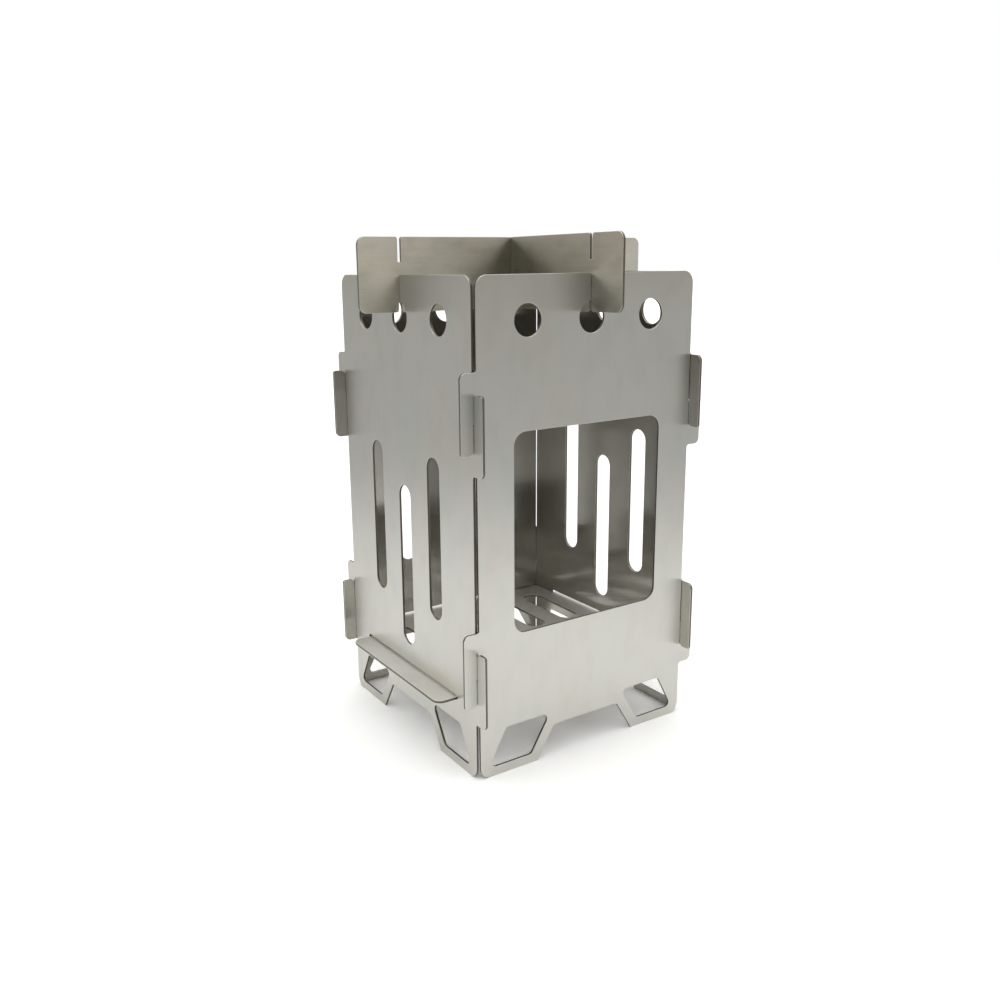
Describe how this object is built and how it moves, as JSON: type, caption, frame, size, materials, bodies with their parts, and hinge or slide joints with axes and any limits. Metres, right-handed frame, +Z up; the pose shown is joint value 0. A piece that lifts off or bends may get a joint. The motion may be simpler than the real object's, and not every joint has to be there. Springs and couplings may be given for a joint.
{
  "type": "backpacking wood stove",
  "caption": "Flat-pack backpacking wood stove: hooked sheet walls with a fuel window and draught slots, a slotted fire grate, and crossed pot supports that lift off.",
  "frame": {"origin": "on the ground, at the centre of the stove's square footprint", "axes": "+Z up, from the feet to the pot supports; the wall with the fuel window faces -Y and +X is to the right seen from that side"},
  "size_m": [0.1324, 0.1324, 0.1935],
  "materials": {
    "wall_sheet": "satin stainless sheet, laser-cut edges",
    "grate_sheet": "satin stainless sheet, laser-cut edges",
    "support_sheet": "satin stainless sheet with fine level grain"
  },
  "bodies": {
    "stove_body": {"front_wall": "wall_sheet", "right_wall": "wall_sheet", "back_wall": "wall_sheet", "left_wall": "wall_sheet", "fire_grate": "grate_sheet"},
    "lower_support": {"lower_pot_support": "support_sheet"},
    "upper_support": {"upper_pot_support": "support_sheet"}
  },
  "joints": [
    {"name": "lower_support_lift", "type": "slide", "parent": "stove_body", "child": "lower_support", "axis": [0, 0, 1], "range_m": [0, 0.03]},
    {"name": "upper_support_lift", "type": "slide", "parent": "lower_support", "child": "upper_support", "axis": [0, 0, 1], "range_m": [0, 0.03]}
  ]
}
